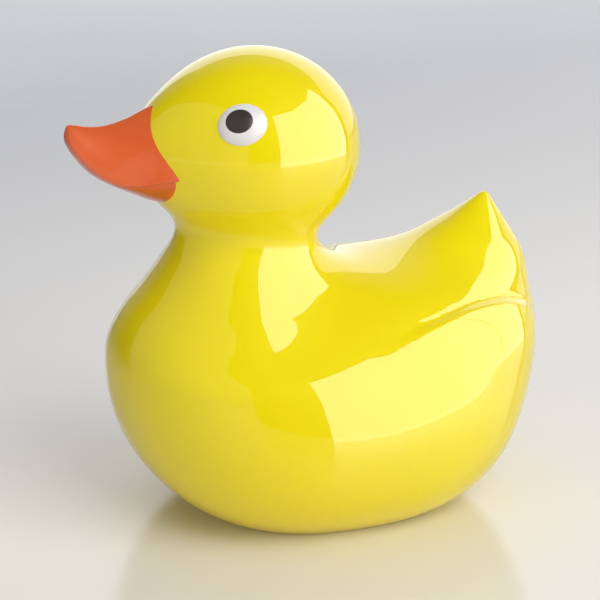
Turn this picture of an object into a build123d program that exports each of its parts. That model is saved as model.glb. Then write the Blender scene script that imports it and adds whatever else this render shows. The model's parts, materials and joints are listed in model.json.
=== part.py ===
from build123d import *
import math
import os

# A duck-shaped floating chlorine dispenser, in millimetres.
# The origin is the centre of the flat base, on the axis of the tablet chamber.
# +Z is up, the bill points along -Y and the duck's left side is +X.

# ---- duck outside: rounded volumes blended into one skin -------------------
HULL_Z = 84.0                      # height of the hull's widest level
HULL_RADII = (85.0, 113.0)         # half width, half length
HULL_TOP = 50.5                    # upper half height
HULL_BOTTOM = 96.0                 # lower half height before the flat is cut
HULL_POWER = 2.4                   # 2 is an ellipsoid, larger is boxier
HULL_TAPER = 0.27                  # flanks lean inwards going up
HULL_TAPER_HEIGHT = 75.0
SHOULDER_DROP = 0.55               # shoulders fall away beside the breast
SHOULDER_FRONT = (-24.0, 58.0)
SHOULDER_SIDE = (0.0, 90.0)
RUMP_CENTRE = (0.0, 73.0, 91.5)
RUMP_RADII = (49.0, 47.5, 48.5)
RUMP_BLEND = 33.0
TAIL_ROOT = (0.0, 88.0, 120.0)
TAIL_ROOT_RADIUS = 31.0
TAIL_TIP = (0.0, 97.0, 158.5)
TAIL_TIP_RADIUS = 3.0
TAIL_BLEND = 18.0
HEAD_CENTRE = (0.0, -37.5, 198.5)
HEAD_RADII = (54.5, 55.5, 52.0)
MUZZLE_CENTRE = (0.0, -56.0, 200.0)
MUZZLE_RADII = (33.0, 49.0, 32.0)
MUZZLE_BLEND = 27.0
NECK_LOW = (0.0, -47.0, 84.0)
NECK_LOW_RADIUS = 66.0
NECK_HIGH = (0.0, -42.5, 183.0)
NECK_HIGH_RADIUS = 12.5
NECK_BLEND = 24.0
BODY_BLEND = 30.0
SKIN_WALL = 2.4
FAN_PIVOT = (48.8, 185.4)          # Y, Z of the axis the skin sections turn about
SECTION_POINTS = 24
FAN_CUTS = [0.0, 0.08, 0.22, 0.42, 0.56, 0.7, 0.85, 1.0]   # joins between lofted segments
FAN_EVEN = [0.17, 0.34, 0.5, 0.66, 0.83]
FAN_TAIL = [i / 8 for i in range(1, 8)]
FAN_CROWN = [0.2, 0.4, 0.6, 0.8]

# ---- flat base and the opening for the tablet chamber ----------------------
FLOOR_TOP = 5.6
RECESS_HALF = (53.4, 63.2)         # elliptical recess for the chamber's flange
RECESS_CEILING = 3.0
BASE_HOLE_RADIUS = 50.5
SCREW_SPOTS = [(54.4, 50), (56.0, 90), (54.4, 130),
               (54.4, -50), (56.0, -90), (54.4, -130)]   # radius, angle
BOSS_RADIUS = 3.4
BOSS_TOP = 14.0
SCREW_RADIUS = 1.48
SCREW_HEAD_RADIUS = 2.9

# ---- tablet well and its flange --------------------------------------------
FLANGE_HALF = (53.2, 63.0)
FLANGE_Z = (0.2, 2.0)
GASKET_Z = (2.0, 3.0)
SKIRT_INNER = 47.9
SKIRT_OUTER = 50.2
SKIRT_TOP = 16.0
SKIRT_CEILING = 14.0
WELL_INNER = 42.1
WELL_OUTER = 43.9
WELL_ROOF = (95.0, 97.0)
RING_GROOVE_RADIUS = 48.8
RING_GROOVE_Z = (5.8, 8.2)
BALLAST_OUTER = 49.4
BALLAST_Z = (16.0, 26.0)
CLIP_Z = (26.0, 27.2)

# ---- bayonet locking ring ---------------------------------------------------
RING_INNER = 45.3
RING_OUTER = 47.6
RING_Z = (1.0, 12.5)
RING_RIDGE_RADIUS = 48.6
RING_RIDGE_Z = (6.0, 8.0)
LEDGE_INNER = 42.3
LEDGE_Z = (4.5, 7.7)
LEDGE_ANGLE = 44.0
LUG_COUNT = 3
LUG_OUTER = 45.0
LUG_Z = (8.0, 11.0)
LUG_ANGLE = 40.0
RING_GRIPS = 12

# ---- tablet cartridge --------------------------------------------------------
CAP_RADIUS = 41.8
FOOT_INNER = 37.0
CAP_FLOOR_Z = (6.0, 8.0)
SPIGOT_INNER = 39.4
SPIGOT_OUTER = 41.6
SPIGOT_TOP = 19.0
ORING_CENTRE = 41.29
ORING_SECTION = 0.78
ORING_Z = 15.5
WINDOW_COUNT = 6
WINDOW_RADII = (13.0, 32.0)
WINDOW_ANGLE = 28.0
HUB_RADIUS = 6.0                   # centre post that the dial turns on
HUB_TOP = 13.6
HUB_GROOVE_RADIUS = 5.2
HUB_GROOVE_Z = (1.9, 2.9)
BASKET_INNER = 38.2
BASKET_OUTER = 39.3
BASKET_Z = (8.2, 92.0)
BASKET_FLOOR_Z = (14.2, 16.2)
BASKET_SLOT = (8.0, 64.0)          # width, height
BASKET_SLOTS = 8
BASKET_HOLE_ROWS = ((12.0, 6), (26.0, 10))
BASKET_HOLE_RADIUS = 3.4
TABLET_RADIUS = 37.5
TABLET_HEIGHT = 25.0
DIAL_RADIUS = 36.4
DIAL_Z = (3.6, 5.8)
DIAL_GRIP_Z = 0.8
DIAL_CLEARANCE = 0.05
CLIP_RADII = (5.25, 8.5)
DIAL_CLIP_Z = (2.0, 2.8)
WASHER_RADII = (6.2, 8.8)

# ---- bill: station Y, ridge Z, mouth Z, underside Z, half width ---------------
BILL_STATIONS = [
    (-74.0, 229.0, 191.0, 171.0, 30.0),
    (-86.0, 227.0, 191.0, 172.0, 29.0),
    (-97.0, 223.0, 190.0, 175.5, 27.0),
    (-108.0, 218.4, 188.5, 180.5, 23.5),
    (-119.0, 215.8, 189.5, 186.0, 19.0),
    (-128.0, 216.0, 195.0, 192.0, 14.0),
    (-134.5, 217.2, 201.5, 199.5, 9.5),
]
BILL_TIP = (-140.0, 212.0)
BILL_UPPER_POWER = 1.4             # below 2 gives a narrow ridge
BILL_LOWER_POWER = 1.8
BILL_WALL = 2.4

# ---- eyes ---------------------------------------------------------------------
EYE_SPOT = (43.8, -60.6, 220.5)    # on the left side of the head
EYE_RADII = (12.6, 11.0, 4.4)
EYE_ROLL = 12.0                    # the rear end of each oval sits higher
PUPIL_RADII = (6.9, 6.2)
PUPIL_SHIFT = (1.2, 1.0)           # towards the bill, upwards
PUPIL_RISE = 0.6

os.makedirs("parts", exist_ok=True)


def ellipsoid(point, centre, radii):
    q = [(p - c) / r for p, c, r in zip(point, centre, radii)]
    k = math.sqrt(sum(v * v for v in q)) + 1e-9
    k1 = math.sqrt(sum((v / r) ** 2 for v, r in zip(q, radii))) + 1e-9
    return k * (k - 1.0) / k1


def ease(value, start, end):
    t = min(max((value - start) / (end - start), 0.0), 1.0)
    return t * t * (3 - 2 * t)


def hull_volume(point):
    x, y, z = point[0], point[1], point[2] - HULL_Z
    shoulder = SHOULDER_DROP * ease(-y, *SHOULDER_FRONT) * ease(abs(x), *SHOULDER_SIDE)
    rz = HULL_TOP * (1 - shoulder) if z > 0 else HULL_BOTTOM
    rx = HULL_RADII[0] * (1 - HULL_TAPER * math.tanh(z / HULL_TAPER_HEIGHT))
    n = HULL_POWER
    g = (abs(x / rx) ** n + abs(y / HULL_RADII[1]) ** n + abs(z / rz) ** n) ** (1 / n)
    return math.sqrt(x * x + y * y + z * z) * (1 - 1 / (g + 1e-9))


def round_cone(point, a, b, ra, rb):
    ba = [v - u for u, v in zip(a, b)]
    pa = [v - u for u, v in zip(a, point)]
    l2 = sum(v * v for v in ba)
    rr = ra - rb
    a2 = l2 - rr * rr
    y = sum(u * v for u, v in zip(pa, ba))
    z = y - l2
    x2 = sum((u * l2 - y * v) ** 2 for u, v in zip(pa, ba))
    y2 = y * y * l2
    z2 = z * z * l2
    k = math.copysign(rr * rr * x2, rr)
    if math.copysign(a2 * z2, z) > k:
        return math.sqrt(x2 + z2) / l2 - rb
    if math.copysign(a2 * y2, y) < k:
        return math.sqrt(x2 + y2) / l2 - ra
    return (math.sqrt(x2 * a2 / l2) + y * rr) / l2 - ra


def blend(a, b, width):
    h = max(width - abs(a - b), 0.0) / width
    return min(a, b) - h ** 3 * width / 6


def duck_volume(point):
    """Signed distance-like value: negative inside the duck."""
    body = blend(hull_volume(point), ellipsoid(point, RUMP_CENTRE, RUMP_RADII), RUMP_BLEND)
    tail = round_cone(point, TAIL_ROOT, TAIL_TIP, TAIL_ROOT_RADIUS, TAIL_TIP_RADIUS)
    body = blend(body, tail, TAIL_BLEND)
    head = blend(ellipsoid(point, HEAD_CENTRE, HEAD_RADII),
                 ellipsoid(point, MUZZLE_CENTRE, MUZZLE_RADII), MUZZLE_BLEND)
    neck = round_cone(point, NECK_LOW, NECK_HIGH, NECK_LOW_RADIUS, NECK_HIGH_RADIUS)
    head = blend(head, neck, NECK_BLEND)
    return blend(body, head, BODY_BLEND)


def fan_point(angle, distance, side=0.0):
    return (side, FAN_PIVOT[0] + distance * math.cos(angle),
            FAN_PIVOT[1] + distance * math.sin(angle))


def fan_run(angle, depth):
    """Middle of the stretch of one fan half-plane that lies in the skin, and its lowest value."""
    steps = [5 + 0.8 * i for i in range(330)]
    values = [duck_volume(fan_point(angle, s)) + depth for s in steps]
    lowest = min(values)
    if lowest >= 0:
        return steps[values.index(lowest)], lowest
    runs, start = [], None
    for i, value in enumerate(values + [1.0]):
        if value < 0 and start is None:
            start = i
        if value >= 0 and start is not None:
            runs.append((i - start, start, i - 1))
            start = None
    _, first, last = max(runs)
    return 0.5 * (steps[first] + steps[last]), lowest


def fan_limit(inside, outside, depth):
    for _ in range(24):
        middle = 0.5 * (inside + outside)
        if fan_run(middle, depth)[1] < 0:
            inside = middle
        else:
            outside = middle
    return inside


def fan_section(angle, depth):
    """Closed curve where one half-plane of the fan cuts the skin, set in by depth."""
    centre = fan_run(angle, depth)[0]
    points = []
    for i in range(SECTION_POINTS):
        turn = 2 * math.pi * i / SECTION_POINTS
        reach, step = 0.0, 1.0
        while step > 0.01 and reach < 260:
            spot = fan_point(angle, centre + reach * math.cos(turn), reach * math.sin(turn))
            value = duck_volume(spot) + depth
            step = -0.75 * value
            reach += max(step, 0.0)
        points.append(Vector(*fan_point(angle, centre + reach * math.cos(turn),
                                        reach * math.sin(turn))))
    knots = [i / SECTION_POINTS for i in range(SECTION_POINTS + 1)]
    return Wire([Edge.make_spline(points, periodic=True, parameters=knots)])


def duck_solid(depth):
    """The whole duck as one solid, from the tail tip round under the hull to the crown."""
    tail = fan_limit(math.radians(-90), math.radians(-5), depth)
    crown = fan_limit(math.radians(-195), math.radians(-270), depth)
    tail_tip = Vertex(*fan_point(tail, fan_run(tail, depth)[0]))
    crown_tip = Vertex(*fan_point(crown, fan_run(crown, depth)[0]))
    cuts = [tail + (crown - tail) * share for share in FAN_CUTS]
    shared = [tail_tip] + [fan_section(a, depth) for a in cuts[1:-1]] + [crown_tip]
    pieces = []
    for i, (low, high) in enumerate(zip(cuts, cuts[1:])):
        shares = FAN_EVEN
        if i == 0:
            shares = FAN_TAIL
        if i == len(cuts) - 2:
            shares = FAN_CROWN
        stack = [shared[i]] + [fan_section(low + (high - low) * s, depth) for s in shares]
        pieces.append(Solid.make_loft(stack + [shared[i + 1]]))
    return pieces[0].fuse(*pieces[1:])


def slab(z0, z1, size=600):
    return Pos(0, 0, (z0 + z1) / 2) * Box(size, size, z1 - z0)


def tube(outer, inner, z0, z1):
    ring = Circle(outer) - Circle(inner) if inner > 0 else Circle(outer)
    return Pos(0, 0, z0) * extrude(ring, z1 - z0)


def oval(half, z0, z1):
    return Pos(0, 0, z0) * extrude(Ellipse(*half), z1 - z0)


def sector(outer, inner, angle, z0, z1):
    """Ring sector centred on +X."""
    half = math.radians(angle / 2)
    reach = outer * 1.6
    wedge = Polygon((0, 0), (reach * math.cos(half), -reach * math.sin(half)),
                    (reach * math.cos(half), reach * math.sin(half)), align=None)
    return Pos(0, 0, z0) * extrude((Circle(outer) - Circle(inner)) & wedge, z1 - z0)


def around(shape, count, start=0.0):
    return [Rot(0, 0, start + 360.0 * i / count) * shape for i in range(count)]


def at_screws(shape):
    return [Rot(0, 0, angle) * Pos(radius, 0, 0) * shape for radius, angle in SCREW_SPOTS]


def save(shape, node):
    shape.label = node
    export_step(shape, f"parts/{node}.step")
    print(node, round(shape.volume / 1000, 2), "cm3", flush=True)


# ---- duck skin ------------------------------------------------------------------
outer_duck = duck_solid(0.0)
inner_duck = duck_solid(SKIN_WALL)
print("skins", round(outer_duck.volume / 1000), round(inner_duck.volume / 1000), flush=True)
shell = outer_duck - slab(-60, 0)
cavity = inner_duck - slab(-60, FLOOR_TOP)
for boss in at_screws(tube(BOSS_RADIUS, 0, FLOOR_TOP - 1, BOSS_TOP)):
    cavity = cavity - boss
shell = shell - cavity
shell = shell - oval(RECESS_HALF, -1, RECESS_CEILING) - tube(BASE_HOLE_RADIUS, 0, -1, FLOOR_TOP + 1)
for pilot in at_screws(tube(1.5, 0, 0, BOSS_TOP - 1)):
    shell = shell - pilot
body_shell = shell.solids().sort_by(lambda s: s.volume)[-1]
save(body_shell, "body_shell")


# ---- bill -----------------------------------------------------------------------
def bill_section(station, inset):
    y, ridge, mouth, under, half = station
    ridge, under, half = ridge - inset, under + inset, half - inset
    points = []
    for i in range(20):
        turn = 2 * math.pi * i / 20
        c, s = math.cos(turn), math.sin(turn)
        rise = ridge - mouth if s > 0 else mouth - under
        power = 2 / (BILL_UPPER_POWER if s > 0 else BILL_LOWER_POWER)
        across = half * math.copysign(abs(c) ** power, c)
        points.append(Vector(across, y, mouth + rise * math.copysign(abs(s) ** power, s)))
    knots = [i / 20 for i in range(21)]
    return Wire([Edge.make_spline(points, periodic=True, parameters=knots)])


bill_outer = Solid.make_loft([bill_section(s, 0.0) for s in BILL_STATIONS]
                             + [Vertex(0, *BILL_TIP)])
inner_stations = [s for s in BILL_STATIONS if s[0] > -120]
bill_inner = Solid.make_loft([bill_section(s, BILL_WALL) for s in inner_stations])
bill = (bill_outer - outer_duck) - (bill_inner - outer_duck)
bill = bill.solids().sort_by(lambda s: s.volume)[-1]
save(bill, "bill")


# ---- eyes -----------------------------------------------------------------------
def ball(radii):
    return scale(Sphere(1.0), by=radii)


def head_normal(spot):
    step = 0.05
    slopes = []
    for axis in range(3):
        ahead, behind = list(spot), list(spot)
        ahead[axis] += step
        behind[axis] -= step
        slopes.append(duck_volume(ahead) - duck_volume(behind))
    return Vector(*slopes).normalized()


def eye_pair(side):
    """White dome and pupil on one side; side is 1 for left and -1 for right."""
    spot = Vector(side * EYE_SPOT[0], EYE_SPOT[1], EYE_SPOT[2])
    normal = head_normal(tuple(spot))
    along = Vector(0, 0, 1).cross(normal).normalized()
    plane = Plane(origin=spot, x_dir=along, z_dir=normal)
    place = plane.location * Rot(0, 0, side * EYE_ROLL)
    dome = place * ball(EYE_RADII)
    raised = place * ball(tuple(r + PUPIL_RISE for r in EYE_RADII))
    shift = Pos(-side * PUPIL_SHIFT[0], PUPIL_SHIFT[1], 0)
    column = place * shift * extrude(Ellipse(*PUPIL_RADII), 12)
    white = (dome - outer_duck).solids().sort_by(lambda s: s.volume)[-1]
    pupil = ((raised & column) - dome).solids().sort_by(lambda s: s.volume)[-1]
    return white, pupil


for side, name in ((1, "left"), (-1, "right")):
    white, pupil = eye_pair(side)
    save(white, f"eye_white_{name}")
    save(pupil, f"pupil_{name}")

# ---- tablet well, gasket, screws, ballast ------------------------------------------
well = oval(FLANGE_HALF, *FLANGE_Z) + tube(SKIRT_OUTER, 0, FLANGE_Z[0], SKIRT_TOP)
well = well - tube(SKIRT_INNER, 0, -1, SKIRT_CEILING)
well = well + tube(WELL_OUTER, 0, SKIRT_CEILING, WELL_ROOF[1])
well = well - tube(WELL_INNER, 0, SKIRT_CEILING - 1, WELL_ROOF[0])
well = well - tube(RING_GROOVE_RADIUS, 0, *RING_GROOVE_Z)
countersink = Pos(0, 0, FLANGE_Z[0]) * extrude(Circle(SCREW_HEAD_RADIUS), 1.5, taper=44)
for hole in at_screws(tube(1.6, 0, -1, 3) + countersink):
    well = well - hole
save(well, "tablet_well")

gasket = oval(FLANGE_HALF, *GASKET_Z) - tube(BASE_HOLE_RADIUS, 0, 0, 5)
for hole in at_screws(tube(1.6, 0, 0, 5)):
    gasket = gasket - hole
save(gasket, "well_gasket")

head = Pos(0, 0, FLANGE_Z[0]) * extrude(Circle(SCREW_HEAD_RADIUS - 0.05), 1.45, taper=44)
socket = extrude(RegularPolygon(1.0, 6), 1.0)
screw = (head + tube(SCREW_RADIUS, 0, 1.0, 12.6)) - Pos(0, 0, FLANGE_Z[0] - 0.1) * socket
save(Compound(children=[s.solids()[0] for s in at_screws(screw)]), "flange_screws")

save(tube(BALLAST_OUTER, WELL_OUTER + 0.1, *BALLAST_Z), "ballast_ring")
clip = tube(WELL_OUTER + 2.6, WELL_OUTER + 0.05, *CLIP_Z)
clip = clip - Pos(WELL_OUTER, 0, CLIP_Z[0]) * Box(8, 6, 6)
save(clip.solids()[0], "ballast_clip")

# ---- bayonet locking ring ------------------------------------------------------------
ring = tube(RING_OUTER, RING_INNER, *RING_Z) + tube(RING_RIDGE_RADIUS, RING_INNER, *RING_RIDGE_Z)
gap_centre = 180.0 / LUG_COUNT
for ledge in around(sector(RING_INNER + 0.5, LEDGE_INNER, LEDGE_ANGLE, *LEDGE_Z), LUG_COUNT, gap_centre):
    ring = ring + ledge
notch = Pos(RING_INNER, 0, RING_Z[0]) * Cylinder(1.3, 4)
for cut in around(notch, RING_GRIPS):
    ring = ring - cut
save(ring.solids()[0], "locking_ring")

# ---- tablet cartridge -------------------------------------------------------------------
cap = tube(CAP_RADIUS, FOOT_INNER, 0, LUG_Z[1]) + tube(CAP_RADIUS, 0, *CAP_FLOOR_Z)
cap = cap + tube(SPIGOT_OUTER, SPIGOT_INNER, CAP_FLOOR_Z[1] - 1, SPIGOT_TOP)
cap = cap - tube(SPIGOT_INNER, 0, CAP_FLOOR_Z[1], SPIGOT_TOP + 1)
cap = cap + tube(HUB_RADIUS, 0, 0, HUB_TOP)
cap = cap - tube(HUB_RADIUS + 1, HUB_GROOVE_RADIUS, *HUB_GROOVE_Z)
for lug in around(sector(LUG_OUTER, CAP_RADIUS - 0.5, LUG_ANGLE, *LUG_Z), LUG_COUNT):
    cap = cap + lug
window = sector(WINDOW_RADII[1], WINDOW_RADII[0], WINDOW_ANGLE, CAP_FLOOR_Z[0] - 1, CAP_FLOOR_Z[1] + 1)
for cut in around(window, WINDOW_COUNT):
    cap = cap - cut
groove = tube(SPIGOT_OUTER + 1, ORING_CENTRE - ORING_SECTION, ORING_Z - 0.85, ORING_Z + 0.85)
cap = cap - groove
save(cap.solids()[0], "base_cap")
save(Pos(0, 0, ORING_Z) * Torus(ORING_CENTRE, ORING_SECTION), "cap_o_ring")

basket = tube(BASKET_OUTER, BASKET_INNER, *BASKET_Z) + tube(BASKET_OUTER, 0, *BASKET_FLOOR_Z)
slot_width, slot_height = BASKET_SLOT
slot_z = BASKET_FLOOR_Z[1] + 5 + slot_height / 2
for cut in around(Pos(BASKET_OUTER, 0, slot_z) * Box(8, slot_width, slot_height), BASKET_SLOTS):
    basket = basket - cut
for radius, count in BASKET_HOLE_ROWS:
    for cut in around(Pos(radius, 0, BASKET_FLOOR_Z[0]) * Cylinder(BASKET_HOLE_RADIUS, 8), count):
        basket = basket - cut
save(basket.solids()[0], "tablet_basket")

tablet_blank = Cylinder(TABLET_RADIUS, TABLET_HEIGHT)
tablet_blank = chamfer(tablet_blank.edges().filter_by(GeomType.CIRCLE), 2.0)
first_tablet = BASKET_FLOOR_Z[1] + TABLET_HEIGHT / 2
save(Pos(0, 0, first_tablet) * tablet_blank, "tablet_lower")
save(Pos(0, 0, first_tablet + TABLET_HEIGHT) * tablet_blank, "tablet_middle")

# ---- regulator dial, its retaining clip and spring washer -------------------------------
dial = tube(DIAL_RADIUS, HUB_RADIUS + DIAL_CLEARANCE, *DIAL_Z)
for cut in around(Pos(0, 0, -2) * window, WINDOW_COUNT):
    dial = dial - cut
fin = Pos(22.0, 0, (DIAL_GRIP_Z + DIAL_Z[0]) / 2 + 0.2) * Box(24, 2.4, DIAL_Z[0] - DIAL_GRIP_Z + 0.4)
rotated = 180.0 / WINDOW_COUNT
dial = dial + Rot(0, 0, rotated) * fin + Rot(0, 0, rotated + 180) * fin
save(dial.solids()[0], "regulator_dial")

dial_clip = tube(CLIP_RADII[1], CLIP_RADII[0], *DIAL_CLIP_Z) - Pos(7, 0, 2.4) * Box(5, 3, 3)
save(dial_clip.solids()[0], "dial_clip")
save(tube(WASHER_RADII[1], WASHER_RADII[0], DIAL_CLIP_Z[1], DIAL_Z[0]), "wave_washer")
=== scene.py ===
import json
import math

import bmesh
import bpy
import numpy as np
from mathutils import Matrix, Vector


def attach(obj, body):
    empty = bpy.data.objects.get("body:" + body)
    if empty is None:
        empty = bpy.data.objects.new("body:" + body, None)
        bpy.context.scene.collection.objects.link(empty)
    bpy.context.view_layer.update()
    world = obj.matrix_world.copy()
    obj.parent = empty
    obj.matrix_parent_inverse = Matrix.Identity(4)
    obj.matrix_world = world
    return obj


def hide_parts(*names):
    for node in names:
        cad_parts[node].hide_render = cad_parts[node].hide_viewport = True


# Looks of a duck-shaped floating chlorine dispenser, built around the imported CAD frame.
# Shapes are worked out in millimetres and made in metres. The bill points along -Y.

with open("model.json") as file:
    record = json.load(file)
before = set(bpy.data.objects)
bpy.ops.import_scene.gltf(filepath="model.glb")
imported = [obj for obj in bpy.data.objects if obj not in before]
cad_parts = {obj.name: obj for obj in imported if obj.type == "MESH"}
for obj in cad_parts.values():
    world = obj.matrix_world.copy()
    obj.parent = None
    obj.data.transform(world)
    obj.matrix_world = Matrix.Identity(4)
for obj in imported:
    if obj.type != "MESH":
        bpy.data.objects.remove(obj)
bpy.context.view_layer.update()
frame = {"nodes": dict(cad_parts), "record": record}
MM = 0.001

# ---- duck skin: rounded volumes blended into one surface, in millimetres --------------
HULL_CENTRE = (0.0, 0.0, 84.0)
HULL_RADII = (85.0, 113.0)
HULL_HEIGHTS = (50.5, 96.0)            # above and below the centre
HULL_POWER = 2.4
HULL_TAPER = 0.27                      # flanks lean inwards going up
HULL_TAPER_HEIGHT = 75.0
SHOULDER_DROP = 0.55                   # shoulders fall away beside the breast
SHOULDER_FRONT = (-24.0, 58.0)
SHOULDER_SIDE = (0.0, 90.0)
RUMP = ((0.0, 73.0, 91.5), (49.0, 47.5, 48.5), 33.0)         # centre, radii, blend width
HEAD = ((0.0, -37.5, 198.5), (54.5, 55.5, 52.0))
MUZZLE = ((0.0, -56.0, 200.0), (33.0, 49.0, 32.0), 27.0)
TAIL = ((0.0, 88.0, 120.0), (0.0, 97.0, 158.5), 31.0, 3.0, 18.0)   # ends, radii, blend
NECK = ((0.0, -47.0, 84.0), (0.0, -42.5, 183.0), 66.0, 12.5, 24.0)
BODY_BLEND = 30.0
SKIN_STEP = 2.0                        # grid the skin is drawn on
SKIN_LOW = (-100.0, -124.0, -16.0)
SKIN_HIGH = (100.0, 132.0, 256.0)

# ---- folded wing, drawn as a line on the flank in Y and Z ------------------------------
WING_LINE = [(-36, 79), (-21, 87), (-6, 96.5), (10, 104.5), (27, 109.5), (44, 112.5),
             (61, 114.5), (79, 114.5), (94, 111.5), (106, 106), (117, 97)]
WING_RISE = 2.6                        # how far the wing stands out at its upper edge
WING_FADE = 34.0                       # over which it sinks back into the flank below
WING_GROOVE = 0.8
WING_EDGE = (8.0, 1.7)                 # width of the step at the front and at the rear
WING_NARROWS = (0.15, 0.5)             # where along the line the step goes from wide to narrow
WING_STARTS = (0.2, 0.5)               # and where the relief, then the groove, fades in and out
WING_GROOVE_STARTS = (0.3, 0.6)
WING_ENDS = (0.84, 1.0)
WING_SIDE = (22.0, 40.0)               # fades in between these distances from the middle
WING_HEIGHTS = (20.0, 140.0)           # the relief is worked out only between these heights
WING_FINE = 8.0                        # the skin's faces are split this close to the wing's edge
WING_FINE_FROM = 60.0                  # and above this height
WING_FINE_ALONG = (0.08, 0.97)

# ---- base opening: half width, half length, height -----------------------------------
BASE_RINGS = [(53.4, 63.2, 0.0), (53.4, 63.2, 3.0), (50.5, 50.5, 3.0), (50.5, 50.5, 17.0),
              (45.9, 45.9, 17.0), (45.9, 45.9, 99.0)]

# ---- bill: station Y, ridge Z, mouth Z, underside Z, half width -------------------------
BILL_STATIONS = [
    (-74.0, 229.0, 191.0, 171.0, 30.0),
    (-86.0, 227.0, 191.0, 172.0, 29.0),
    (-97.0, 223.0, 190.0, 175.5, 27.0),
    (-108.0, 218.4, 188.5, 180.5, 23.5),
    (-119.0, 215.8, 189.5, 186.0, 19.0),
    (-128.0, 216.0, 195.0, 192.0, 14.0),
    (-134.5, 217.2, 201.5, 199.5, 9.5),
    (-138.4, 217.4, 207.5, 205.8, 5.5),
    (-139.9, 214.5, 210.8, 209.8, 2.2),
]
BILL_UPPER_POWER = 1.45
BILL_LOWER_POWER = 1.8
BILL_LIP = 3.2                         # how far the upper half wraps under the mouth line
BILL_AROUND = 96
BILL_PER_STATION = 12                  # sections drawn between two stations
BILL_LOWER_SHORT = 5                   # sections that the lower half ends before the tip
BILL_LOWER_WIDTH = 0.94                # of the upper half's width
BILL_LOWER_RISE = 2.0                  # how far the lower half reaches up inside the upper one

# ---- eyes ---------------------------------------------------------------------------------
EYE_SPOT = (43.8, -60.6, 220.5)
EYE_NORMAL = (0.81, -0.37, 0.45)
EYE_RADII = (12.7, 11.0)
EYE_HEIGHT = 4.3
EYE_SINK = 1.6                         # how far the head falls away at the eye's rim
EYE_ROLL = math.radians(12.0)
PUPIL_RADII = (6.9, 6.2)
PUPIL_SHIFT = (1.2, 1.0)
PUPIL_RISE = 0.45
PUPIL_EDGE = 3.0                       # how sharply the pupil's dome turns down at its rim
EYE_SKIRT = 4.0                        # how far an eye piece reaches into the head

# ---- plastics: two clouded colours, roughness range, and sizes of clouds and grain --------
PLASTICS = {
    "yellow_skin": dict(light=(0.93, 0.775, 0.0), dark=(0.91, 0.73, 0.0), rough=(0.4, 0.55), blotch=9.0,
                        coat=1.0, coat_rough=0.02),
    "orange_bill": dict(light=(0.78, 0.125, 0.015), dark=(0.70, 0.095, 0.012), rough=(0.36, 0.46),
                        blotch=30.0, coat=0.9, coat_rough=0.06, grain=700.0, grain_depth=0.000003),
    "eye_white": dict(light=(0.86, 0.84, 0.84), dark=(0.80, 0.78, 0.79), rough=(0.3, 0.42), blotch=60.0,
                      coat=0.3, coat_rough=0.15, grain=900.0, grain_depth=0.00001),
    "eye_black": dict(light=(0.028, 0.022, 0.018), dark=(0.045, 0.036, 0.03), rough=(0.35, 0.5), blotch=90.0,
                      coat=0.2, coat_rough=0.2, grain=900.0, grain_depth=0.00002),
    "white_plastic": dict(light=(0.80, 0.82, 0.83), dark=(0.74, 0.76, 0.78), rough=(0.38, 0.5), blotch=30.0,
                          grain=1400.0, grain_depth=0.00003),
    "basket_plastic": dict(light=(0.66, 0.73, 0.80), dark=(0.60, 0.68, 0.77), rough=(0.4, 0.52), blotch=30.0,
                           grain=1400.0, grain_depth=0.00003),
    "blue_plastic": dict(light=(0.015, 0.12, 0.42), dark=(0.01, 0.09, 0.36), rough=(0.32, 0.45), blotch=40.0,
                         coat=0.15, coat_rough=0.2, grain=1400.0, grain_depth=0.00004),
    "seal_rubber": dict(light=(0.018, 0.018, 0.02), dark=(0.032, 0.032, 0.034), rough=(0.6, 0.8),
                        blotch=120.0, grain=2500.0, grain_depth=0.00006),
}

# ---- camera -----------------------------------------------------------------------------
VIEW_AZIMUTH = math.radians(68.0)
VIEW_ELEVATION = math.radians(17.0)
VIEW_DISTANCE = 1.220
VIEW_OFFSET = (-0.0111, 0.1049)        # where the view is centred, right and up of the base
VIEW_LENS = 131.9

# ---- studio: floor colours with painted light and shade, then softboxes seen in the skin's coat ---
FLOOR_SIZE = 16.0
# Painted light and shade: the floor is painted dark far off and light near the object, in place of the
# lamps' fall-off.
FLOOR_FAR_PAINTED_SHADE = (0.14, 0.15, 0.21)
FLOOR_NEAR_PAINTED_LIGHT = (0.85, 0.815, 0.765)
FLOOR_PAINTED_SHADE_FADE = (-1.0, -0.2)              # where the painted far shade ends and the painted near light begins
FLOOR_GLOSS = (0.13, 0.18)
SOFTBOXES = ((112.0, 0.6), (145.4, 0.6), (172.5, 0.36))      # azimuth and width of upright panels
SOFTBOX_HEIGHT = 1.28
SOFTBOX_RADIANCE = 3.4
WORLD_DARK = (0.022, 0.022, 0.026)
WORLD_PALE = (0.45, 0.46, 0.48)
# name, azimuth, distance, height of the middle, width, height, radiance
REFLECTED_PANELS = [
    ("back_softbox", -127.0, 3.4, 1.55, 6.2, 3.0, 1.1),
    ("front_card", 14.0, 1.2, 0.9, 3.1, 2.2, 0.42),
]
# name, azimuth, elevation, width, height, radiance
LAMPS = [
    ("key", 115.0, 38.0, 1.8, 1.8, 3.15),
    ("overhead", -60.0, 80.0, 2.4, 2.4, 0.75),
    ("fill", 34.0, 8.0, 2.4, 1.8, 1.4),
]
LAMP_DISTANCE = 2.0
LAMP_AIM = (0.0, 0.0, 0.1)


def ease(x, low, high):
    """0 below low, 1 above high and smooth between."""
    t = np.clip((x - low) / (high - low), 0.0, 1.0)
    return t * t * (3 - 2 * t)


def ellipsoid(p, centre, radii):
    """Signed distance to an ellipsoid, near enough for blending."""
    q = (p - np.array(centre)) / np.array(radii)
    k = np.sqrt((q ** 2).sum(-1)) + 1e-9
    k1 = np.sqrt(((q / np.array(radii)) ** 2).sum(-1)) + 1e-9
    return k * (k - 1.0) / k1


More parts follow.
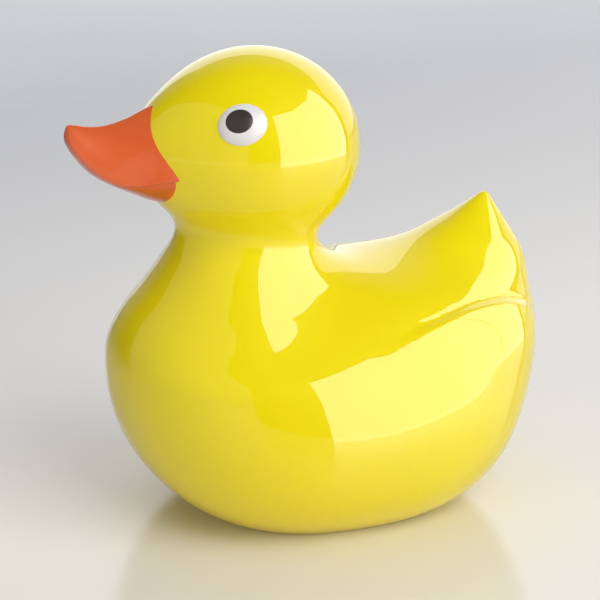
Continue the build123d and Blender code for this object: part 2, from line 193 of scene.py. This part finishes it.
def hull(p):
    """Body volume: wide rounded hull with leaning flanks and dropped shoulders."""
    q = p - np.array(HULL_CENTRE)
    shoulder = ease(-q[:, 1], *SHOULDER_FRONT) * ease(np.abs(q[:, 0]), *SHOULDER_SIDE)
    upper = HULL_HEIGHTS[0] * (1 - SHOULDER_DROP * shoulder)
    height = np.where(q[:, 2] > 0, upper, HULL_HEIGHTS[1])
    wide = HULL_RADII[0] * (1 - HULL_TAPER * np.tanh(q[:, 2] / HULL_TAPER_HEIGHT))
    ratios = (q[:, 0] / wide, q[:, 1] / HULL_RADII[1], q[:, 2] / height)
    g = sum(np.abs(r) ** HULL_POWER for r in ratios) ** (1 / HULL_POWER) + 1e-9
    return np.sqrt((q ** 2).sum(-1)) * (1 - 1 / g)


def round_cone(p, a, b, ra, rb):
    """Signed distance to a cone between two balls."""
    a, b = np.array(a), np.array(b)
    ba = b - a
    l2 = ba @ ba
    rr = ra - rb
    a2 = l2 - rr * rr
    pa = p - a
    y = pa @ ba
    z = y - l2
    x2 = ((pa * l2 - y[:, None] * ba) ** 2).sum(-1)
    y2, z2 = y * y * l2, z * z * l2
    k = math.copysign(rr * rr, rr) * x2
    near_b = np.sqrt(x2 + z2) / l2 - rb
    near_a = np.sqrt(x2 + y2) / l2 - ra
    side = (np.sqrt(x2 * a2 / l2) + y * rr) / l2 - ra
    side = np.where(np.sign(y) * a2 * y2 < k, near_a, side)
    return np.where(np.sign(z) * a2 * z2 > k, near_b, side)


def blend(a, b, width):
    """Union of two volumes with a smooth fillet of the given width."""
    h = np.maximum(width - np.abs(a - b), 0.0) / width
    return np.minimum(a, b) - h ** 3 * width / 6


def smooth_line(points, per_span):
    """Catmull-Rom curve through points, as an array."""
    pts = np.array(points, float)
    pts = np.vstack([2 * pts[0] - pts[1], pts, 2 * pts[-1] - pts[-2]])
    t = np.linspace(0, 1, per_span, endpoint=False)[:, None]
    made = []
    for p0, p1, p2, p3 in zip(pts, pts[1:], pts[2:], pts[3:]):
        made.append(0.5 * (2 * p1 + (p2 - p0) * t + (2 * p0 - 5 * p1 + 4 * p2 - p3) * t ** 2
                           + (3 * p1 - p0 - 3 * p2 + p3) * t ** 3))
    return np.vstack([*made, pts[-2][None]])


wing_curve = smooth_line(WING_LINE, 8)


def wing_offset(p):
    """Distance from the wing's edge, positive above it, and place along it from 0 to 1."""
    line_y, line_z = wing_curve[:, 0], wing_curve[:, 1]
    climb = np.interp(p[:, 1], line_y, np.gradient(line_z, line_y))
    height = p[:, 2] - np.interp(p[:, 1], line_y, line_z)
    along = np.clip((p[:, 1] - line_y[0]) / (line_y[-1] - line_y[0]), 0, 1)
    return height / np.sqrt(1 + climb ** 2), along


def wing_relief(p):
    """How far the folded wing lifts the skin."""
    relief = np.zeros(len(p))
    near = (np.abs(p[:, 0]) > WING_SIDE[0]) & (p[:, 2] > WING_HEIGHTS[0]) & (p[:, 2] < WING_HEIGHTS[1])
    if not near.any():
        return relief
    q = p[near]
    s, along = wing_offset(q)
    edge = WING_EDGE[0] + (WING_EDGE[1] - WING_EDGE[0]) * ease(along, *WING_NARROWS)
    swell = np.exp(-(np.minimum(s, 0) / WING_FADE) ** 2) * (1 - ease(s, -0.35 * edge, 0.65 * edge))
    groove = np.exp(-((s - 0.95 * edge) / (0.55 * edge)) ** 2) * ease(along, *WING_GROOVE_STARTS)
    amount = ease(along, *WING_STARTS) * (1 - ease(along, *WING_ENDS))
    amount = amount * ease(np.abs(q[:, 0]), *WING_SIDE)
    relief[near] = amount * (WING_RISE * swell - WING_GROOVE * groove)
    return relief


def duck_form(p):
    """Signed volume of the whole duck without its wings, negative inside."""
    body = blend(hull(p), ellipsoid(p, *RUMP[:2]), RUMP[2])
    body = blend(body, round_cone(p, *TAIL[:4]), TAIL[4])
    head = blend(ellipsoid(p, *HEAD), ellipsoid(p, *MUZZLE[:2]), MUZZLE[2])
    head = blend(head, round_cone(p, *NECK[:4]), NECK[4])
    return blend(body, head, BODY_BLEND)


def duck_skin(p):
    """The same with the folded wings."""
    return duck_form(p) - wing_relief(p)


def slope(field, p, reach=0.15):
    """Gradient of a field at each point."""
    parts = []
    for axis in range(3):
        step = np.zeros(3)
        step[axis] = reach
        parts.append((field(p + step) - field(p - step)) / (2 * reach))
    return np.stack(parts, -1)


def settle(field, p, rounds):
    """Moves points onto the surface where the field is zero."""
    for _ in range(rounds):
        g = slope(field, p)
        move = field(p)[:, None] * g / ((g ** 2).sum(-1, keepdims=True) + 1e-9)
        p = p - np.clip(move, -1.5, 1.5)
    return p


def net_surface(field, low, high, step):
    """Quads round every grid cell that the field's zero surface passes through."""
    axes = [np.arange(a, b + step / 2, step) for a, b in zip(low, high)]
    grid = np.stack(np.meshgrid(*axes, indexing="ij"), -1)
    value = field(grid.reshape(-1, 3)).reshape(grid.shape[:3])
    inside = value < 0
    cells = [n - 1 for n in inside.shape]
    total = np.zeros((*cells, 3))
    count = np.zeros(cells)
    rings = []
    for axis in range(3):
        low_end, high_end = [slice(None)] * 3, [slice(None)] * 3
        low_end[axis], high_end[axis] = slice(None, -1), slice(1, None)
        v0, v1 = value[tuple(low_end)], value[tuple(high_end)]
        crossed = (v0 < 0) != (v1 < 0)
        start = np.stack(np.nonzero(crossed), -1)
        t = (v0 / (v0 - v1 + 1e-12))[crossed]
        place = grid[tuple(start.T)].copy()
        place[:, axis] += step * t
        u, w = (axis + 1) % 3, (axis + 2) % 3
        ring = []
        for du, dw in ((0, 0), (-1, 0), (-1, -1), (0, -1)):
            cell = start.copy()
            cell[:, u] += du
            cell[:, w] += dw
            np.add.at(total, tuple(cell.T), place)
            np.add.at(count, tuple(cell.T), 1)
            ring.append(cell)
        rings.append((ring, v0[crossed] < 0))
    used = count > 0
    index = np.zeros(cells, int)
    index[used] = np.arange(used.sum())
    points = total[used] / count[used][:, None]
    faces = []
    for ring, outward in rings:
        quad = np.stack([index[tuple(cell.T)] for cell in ring], -1)
        faces.append(np.where(outward[:, None], quad, quad[:, ::-1]))
    return points, np.vstack(faces)


def new_object(name, mesh):
    made = bpy.data.objects.new(name, mesh)
    bpy.context.collection.objects.link(made)
    return made


def mesh_from(name, points, faces):
    """Mesh object from millimetre points."""
    mesh = bpy.data.meshes.new(name)
    mesh.from_pydata((np.array(points) * MM).tolist(), [], [list(f) for f in faces])
    mesh.update()
    return new_object(name, mesh)


def oval_ring(bm, angles, half_x, half_y, z):
    """Vertices round an oval, seen under the given angles."""
    ring = []
    for a in angles:
        c, s = math.cos(a), math.sin(a)
        r = half_x * half_y / math.hypot(half_y * c, half_x * s)
        ring.append(bm.verts.new((r * c * MM, r * s * MM, z * MM)))
    return ring


def bridge(bm, first, second):
    """Quads between two rings of equal count."""
    count = len(first)
    for i in range(count):
        j = (i + 1) % count
        bm.faces.new((first[i], first[j], second[j], second[i]))


def build_skin():
    """Closed duck skin with its base recess; also gives the number of faces before the base."""
    points, faces = net_surface(duck_form, SKIN_LOW, SKIN_HIGH, SKIN_STEP)
    points = settle(duck_form, points, 3)
    bm = bmesh.new()
    verts = [bm.verts.new(p) for p in (points * MM).tolist()]
    for face in faces.tolist():
        bm.faces.new([verts[i] for i in face])
    bm.verts.ensure_lookup_table()
    offset, along = wing_offset(points)
    close = (np.abs(offset) < WING_FINE) & (np.abs(points[:, 0]) > WING_SIDE[0])
    close &= (along > WING_FINE_ALONG[0]) & (along < WING_FINE_ALONG[1])
    close &= points[:, 2] > WING_FINE_FROM
    fine = [e for e in bm.edges if close[e.verts[0].index] and close[e.verts[1].index]]
    bmesh.ops.subdivide_edges(bm, edges=fine, cuts=1, use_grid_fill=True)
    points = np.array([v.co for v in bm.verts]) / MM
    for v, p in zip(bm.verts, settle(duck_skin, points, 4)):
        v.co = p * MM
    whole = bm.verts[:] + bm.edges[:] + bm.faces[:]
    bmesh.ops.bisect_plane(bm, geom=whole, plane_co=(0, 0, 0), plane_no=(0, 0, -1), clear_outer=True)
    rim = {v for e in bm.edges if e.is_boundary for v in e.verts}
    rim = sorted(rim, key=lambda v: math.atan2(v.co.y, v.co.x))
    angles = [math.atan2(v.co.y, v.co.x) for v in rim]
    skin_faces = len(bm.faces)
    last = rim
    for half_x, half_y, z in BASE_RINGS:
        ring = oval_ring(bm, angles, half_x, half_y, z)
        bridge(bm, last, ring)
        last = ring
    bm.faces.new(last)
    bmesh.ops.recalc_face_normals(bm, faces=bm.faces[:])
    mesh = bpy.data.meshes.new("duck_skin")
    bm.to_mesh(mesh)
    bm.free()
    return new_object("duck_skin", mesh), skin_faces


def set_skin_normals(piece, skin_faces):
    """Shades the skin with the exact slope of its form and the base with flat faces."""
    mesh = piece.data
    count = len(mesh.vertices)
    co = np.zeros(count * 3)
    mesh.vertices.foreach_get("co", co)
    g = slope(duck_skin, co.reshape(-1, 3) / MM)
    exact = g / (np.linalg.norm(g, axis=1, keepdims=True) + 1e-9)
    corner_vertex = np.zeros(len(mesh.loops), int)
    mesh.loops.foreach_get("vertex_index", corner_vertex)
    normals = exact[corner_vertex]
    for face in mesh.polygons[skin_faces:]:
        for corner in face.loop_indices:
            normals[corner] = face.normal
    mesh.shade_smooth()
    mesh.normals_split_custom_set(normals.tolist())


def half_section(station, upper, turn):
    """Point of a bill section: upper half above the mouth line, lower half below."""
    y, ridge, mouth, under, half = station
    c, s = np.cos(turn), np.sin(turn)
    above = s > 0
    if upper:
        rise = np.where(above, ridge - mouth, BILL_LIP * half / BILL_STATIONS[0][4])
        power = np.where(above, BILL_UPPER_POWER, 2.0)
        across = half
    else:
        rise = np.where(above, BILL_LOWER_RISE, mouth - under)
        power = np.where(above, 2.0, BILL_LOWER_POWER)
        across = half * BILL_LOWER_WIDTH
    x = across * np.sign(c) * np.abs(c) ** (2 / power)
    z = mouth + rise * np.sign(s) * np.abs(s) ** (2 / power)
    return np.stack([x, np.full_like(x, y), z], -1)


def mandible(upper):
    """Points and faces of the bill's upper or lower half."""
    stations = smooth_line(BILL_STATIONS, BILL_PER_STATION)
    if not upper:
        stations = stations[: len(stations) - BILL_LOWER_SHORT]
    turn = np.linspace(0, 2 * math.pi, BILL_AROUND, endpoint=False)
    points = [half_section(s, upper, turn) for s in stations]
    tip = points[-1].mean(0) + np.array((0, -0.5, 0))
    points = np.vstack([*points, tip[None]])
    rows = len(stations)
    faces = []
    for i in range(rows - 1):
        for j in range(BILL_AROUND):
            k = (j + 1) % BILL_AROUND
            faces.append((i * BILL_AROUND + j, i * BILL_AROUND + k,
                          (i + 1) * BILL_AROUND + k, (i + 1) * BILL_AROUND + j))
    last = (rows - 1) * BILL_AROUND
    faces += [(last + j, last + (j + 1) % BILL_AROUND, len(points) - 1) for j in range(BILL_AROUND)]
    faces.append(tuple(range(BILL_AROUND - 1, -1, -1)))
    return points, faces


def build_bill():
    points, faces = mandible(True)
    lower_points, lower_faces = mandible(False)
    shift = len(points)
    faces = faces + [tuple(i + shift for i in f) for f in lower_faces]
    bill = mesh_from("bill_mould", np.vstack([points, lower_points]), faces)
    fix_normals(bill)
    return bill


def fix_normals(piece):
    bm = bmesh.new()
    bm.from_mesh(piece.data)
    bmesh.ops.recalc_face_normals(bm, faces=bm.faces[:])
    bm.to_mesh(piece.data)
    bm.free()
    piece.data.shade_smooth()


def eye_place(side):
    """Matrix from eye coordinates, in millimetres, to the row frame."""
    spot = Vector((side * EYE_SPOT[0], EYE_SPOT[1], EYE_SPOT[2]))
    normal = Vector((side * EYE_NORMAL[0], EYE_NORMAL[1], EYE_NORMAL[2])).normalized()
    along = Vector((0, 0, 1)).cross(normal).normalized()
    up = normal.cross(along)
    turn = Matrix((along, up, normal)).transposed().to_4x4()
    return Matrix.Translation(spot) @ turn @ Matrix.Rotation(side * EYE_ROLL, 4, "Z")


def dome_height(x, y):
    """Height of the eye white over its rim plane."""
    r = np.minimum(np.hypot(x / EYE_RADII[0], y / EYE_RADII[1]), 1.0)
    return -EYE_SINK * r ** 2 + EYE_HEIGHT * (1 - r ** 2.6) ** 0.55


def build_cap(name, side, radii, centre, height):
    """Round-edged cap on an oval outline, closed underneath inside the head."""
    rings, around = 26, 72
    turn = np.linspace(0, 2 * math.pi, around, endpoint=False)
    levels = np.sin(np.linspace(0, math.pi / 2, rings + 1))[1:]
    points = [np.array([[*centre, height(*centre, 0.0)]])]
    for r in levels:
        x = centre[0] + radii[0] * r * np.cos(turn)
        y = centre[1] + radii[1] * r * np.sin(turn)
        points.append(np.stack([x, y, height(x, y, r)], -1))
    skirt = points[-1].copy()
    skirt[:, 2] -= EYE_SKIRT
    points.append(skirt)
    points = np.vstack(points)
    faces = [(0, 1 + j, 1 + (j + 1) % around) for j in range(around)]
    for i in range(rings):
        for j in range(around):
            k = (j + 1) % around
            a, b = 1 + i * around, 1 + (i + 1) * around
            faces.append((a + j, b + j, b + k, a + k))
    faces.append(tuple(1 + rings * around + j for j in range(around)))
    place = np.array(eye_place(side))
    placed = points @ place[:3, :3].T + place[:3, 3]
    piece = mesh_from(name, placed, faces)
    fix_normals(piece)
    return piece


def white_height(x, y, r):
    return dome_height(x, y)


def pupil_height(x, y, r):
    return dome_height(x, y) + PUPIL_RISE * (1 - r ** PUPIL_EDGE) ** 0.5


def build_eyes():
    """Pieces for both eyes, each with the node it replaces and its material slot."""
    made = []
    for side, name in ((1, "left"), (-1, "right")):
        white = build_cap(f"eye_dome_{name}", side, EYE_RADII, (0.0, 0.0), white_height)
        centre = (-side * PUPIL_SHIFT[0], PUPIL_SHIFT[1])
        pupil = build_cap(f"pupil_dome_{name}", side, PUPIL_RADII, centre, pupil_height)
        made.append((white, f"eye_white_{name}", "eye_white"))
        made.append((pupil, f"pupil_{name}", "eye_black"))
    return made


# ---- materials ------------------------------------------------------------------------------
def new_material(name):
    material = bpy.data.materials.new(name)
    material.use_nodes = True
    tree = material.node_tree
    shader = tree.nodes["Principled BSDF"]
    place = tree.nodes.new("ShaderNodeTexCoord").outputs["Object"]
    return material, tree, shader, place


def add_noise(tree, place, scale, detail=4.0, rough=0.5):
    noise = tree.nodes.new("ShaderNodeTexNoise")
    noise.inputs["Scale"].default_value = scale
    noise.inputs["Detail"].default_value = detail
    noise.inputs["Roughness"].default_value = rough
    tree.links.new(place, noise.inputs["Vector"])
    return noise.outputs["Fac"]


def add_range(tree, value, low, high, start=0.3, stop=0.7):
    spread = tree.nodes.new("ShaderNodeMapRange")
    spread.inputs["From Min"].default_value = start
    spread.inputs["From Max"].default_value = stop
    spread.inputs["To Min"].default_value = low
    spread.inputs["To Max"].default_value = high
    tree.links.new(value, spread.inputs["Value"])
    return spread.outputs["Result"]


def add_mix(tree, factor, first, second):
    mix = tree.nodes.new("ShaderNodeMix")
    mix.data_type = "RGBA"
    mix.inputs["A"].default_value = (*first, 1)
    mix.inputs["B"].default_value = (*second, 1)
    tree.links.new(factor, mix.inputs["Factor"])
    return mix.outputs["Result"]


def add_bump(tree, shader, height, depth, strength=1.0):
    bump = tree.nodes.new("ShaderNodeBump")
    bump.inputs["Distance"].default_value = depth
    bump.inputs["Strength"].default_value = strength
    tree.links.new(height, bump.inputs["Height"])
    tree.links.new(bump.outputs["Normal"], shader.inputs["Normal"])


def plastic(name, light, dark, rough, blotch, coat=0.0, coat_rough=0.03, grain=0.0, grain_depth=0.0):
    """Moulded plastic: cloudy colour, uneven gloss and, where asked for, a fine surface grain."""
    material, tree, shader, place = new_material(name)
    cloud = add_range(tree, add_noise(tree, place, blotch, 3.0), 0.0, 1.0)
    tree.links.new(add_mix(tree, cloud, light, dark), shader.inputs["Base Color"])
    sheen = add_noise(tree, place, blotch * 4, 5.0, 0.6)
    tree.links.new(add_range(tree, sheen, rough[0], rough[1]), shader.inputs["Roughness"])
    shader.inputs["Coat Weight"].default_value = coat
    shader.inputs["Coat Roughness"].default_value = coat_rough
    if grain:
        add_bump(tree, shader, add_noise(tree, place, grain, 2.0), grain_depth)
    return material


def duck_gloss(material):
    """Strong clear coat over a nearly matt colour, so that dark reflections stay pure yellow."""
    shader = material.node_tree.nodes["Principled BSDF"]
    shader.inputs["Specular IOR Level"].default_value = 0.08
    shader.inputs["Coat IOR"].default_value = 1.6


def make_materials():
    made = {name: plastic(name, **look) for name, look in PLASTICS.items()}
    duck_gloss(made["yellow_skin"])
    made["stainless"] = turned_steel()
    made["tablet"] = pressed_tablet()
    return made


def turned_steel():
    material, tree, shader, place = new_material("stainless")
    stretch = tree.nodes.new("ShaderNodeMapping")
    stretch.inputs["Scale"].default_value = (1.0, 1.0, 40.0)
    tree.links.new(place, stretch.inputs["Vector"])
    lines = add_noise(tree, stretch.outputs["Vector"], 160.0, 6.0, 0.6)
    tree.links.new(add_mix(tree, lines, (0.62, 0.62, 0.64), (0.45, 0.45, 0.47)), shader.inputs["Base Color"])
    tree.links.new(add_range(tree, lines, 0.2, 0.38), shader.inputs["Roughness"])
    shader.inputs["Metallic"].default_value = 1.0
    add_bump(tree, shader, lines, 0.00002)
    return material


def pressed_tablet():
    material, tree, shader, place = new_material("tablet")
    grains = tree.nodes.new("ShaderNodeTexVoronoi")
    grains.inputs["Scale"].default_value = 700.0
    tree.links.new(place, grains.inputs["Vector"])
    cloud = add_noise(tree, place, 60.0, 6.0)
    tree.links.new(add_mix(tree, cloud, (0.86, 0.88, 0.86), (0.74, 0.78, 0.77)), shader.inputs["Base Color"])
    shader.inputs["Roughness"].default_value = 0.85
    add_bump(tree, shader, grains.outputs["Distance"], 0.0002, 0.6)
    return material


# ---- floor, light and camera ------------------------------------------------------------------
def toward(azimuth, elevation):
    """Unit vector out from the object; azimuth 0 is -Y and 90 is +X, in degrees."""
    a, e = math.radians(azimuth), math.radians(elevation)
    return Vector((math.sin(a) * math.cos(e), -math.cos(a) * math.cos(e), math.sin(e)))


def panel(name, centre, aim, width, height, radiance, mirror=True, lamp=True):
    """Rectangular softbox. mirror shows it in reflections, lamp lets it light surfaces."""
    light = bpy.data.lights.new(name, "AREA")
    light.shape = "RECTANGLE"
    light.size = width
    light.size_y = height
    light.energy = radiance * math.pi * width * height
    made = bpy.data.objects.new(name, light)
    bpy.context.collection.objects.link(made)
    made.location = centre
    made.rotation_euler = (Vector(aim) - Vector(centre)).to_track_quat("-Z", "Y").to_euler()
    made.visible_camera = False
    made.visible_glossy = mirror
    made.visible_diffuse = lamp
    made.visible_transmission = lamp


def build_floor():
    """Glossy sheet with painted light and shade: its colour goes from a painted dark shade far off to
    lighter and warmer towards the near right-hand side.
    """
    bpy.ops.mesh.primitive_grid_add(x_subdivisions=8, y_subdivisions=8, size=FLOOR_SIZE)
    floor = bpy.context.object
    floor.name = "floor"
    material, tree, shader, place = new_material("studio_floor_painted_falloff")
    spread = tree.nodes.new("ShaderNodeVectorMath")
    spread.operation = "DOT_PRODUCT"
    spread.inputs[1].default_value = toward(100, 0)
    tree.links.new(place, spread.inputs[0])
    # painted shade far from the object, painted light near it
    near = add_range(tree, spread.outputs["Value"], 0.0, 1.0, *FLOOR_PAINTED_SHADE_FADE)
    tree.links.new(add_mix(tree, near, FLOOR_FAR_PAINTED_SHADE, FLOOR_NEAR_PAINTED_LIGHT), shader.inputs["Base Color"])
    gloss = add_noise(tree, place, 1.5, 2.0)
    tree.links.new(add_range(tree, gloss, *FLOOR_GLOSS), shader.inputs["Roughness"])
    floor.data.materials.append(material)


def build_world():
    """Dim studio with a pale wall on the far side of the object."""
    world = bpy.data.worlds.new("studio")
    bpy.context.scene.world = world
    world.use_nodes = True
    tree = world.node_tree
    background = tree.nodes["Background"]
    place = tree.nodes.new("ShaderNodeTexCoord").outputs["Generated"]
    dot = tree.nodes.new("ShaderNodeVectorMath")
    dot.operation = "DOT_PRODUCT"
    dot.inputs[1].default_value = toward(-112, 12)
    tree.links.new(place, dot.inputs[0])
    bright = add_range(tree, dot.outputs["Value"], 0.0, 1.0, 0.6, 0.97)
    tree.links.new(add_mix(tree, bright, WORLD_DARK, WORLD_PALE), background.inputs["Color"])


def build_lights():
    """Panels seen only in reflections shape the gloss; lamps seen in none light the colour."""
    for azimuth, width in SOFTBOXES:
        middle = Vector((0, 0, SOFTBOX_HEIGHT / 2))
        panel("side_softbox", toward(azimuth, 0) + middle, middle, width, SOFTBOX_HEIGHT,
              SOFTBOX_RADIANCE, lamp=False)
    for name, azimuth, distance, middle_z, width, height, radiance in REFLECTED_PANELS:
        middle = Vector((0, 0, middle_z))
        panel(name, toward(azimuth, 0) * distance + middle, middle, width, height, radiance, lamp=False)
    for name, azimuth, elevation, width, height, radiance in LAMPS:
        centre = toward(azimuth, elevation) * LAMP_DISTANCE
        panel(name, centre, LAMP_AIM, width, height, radiance, mirror=False)


def build_camera():
    back = toward(math.degrees(VIEW_AZIMUTH), math.degrees(VIEW_ELEVATION))
    right = Vector((math.cos(VIEW_AZIMUTH), math.sin(VIEW_AZIMUTH), 0))
    up = back.cross(right)
    target = right * VIEW_OFFSET[0] + up * VIEW_OFFSET[1]
    camera = bpy.data.objects.new("camera", bpy.data.cameras.new("camera"))
    bpy.context.collection.objects.link(camera)
    camera.data.lens = VIEW_LENS
    camera.location = target + back * VIEW_DISTANCE
    camera.rotation_euler = Matrix((right, up, back)).transposed().to_euler()
    bpy.context.scene.camera = camera


# ---- put together --------------------------------------------------------------------------------
materials = make_materials()
for part in frame["record"]["subparts"]:
    node = frame["nodes"][part["node"]]
    node.data.materials.clear()
    node.data.materials.append(materials[part["material_slot"]])

skin, skin_faces = build_skin()
set_skin_normals(skin, skin_faces)
replacements = [(skin, "body_shell", "yellow_skin"), (build_bill(), "bill", "orange_bill"), *build_eyes()]
for piece, node, slot in replacements:
    piece.data.materials.append(materials[slot])
    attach(piece, "duck")
    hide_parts(node)

build_floor()
build_world()
build_lights()
build_camera()
bpy.context.scene.view_settings.view_transform = "Standard"
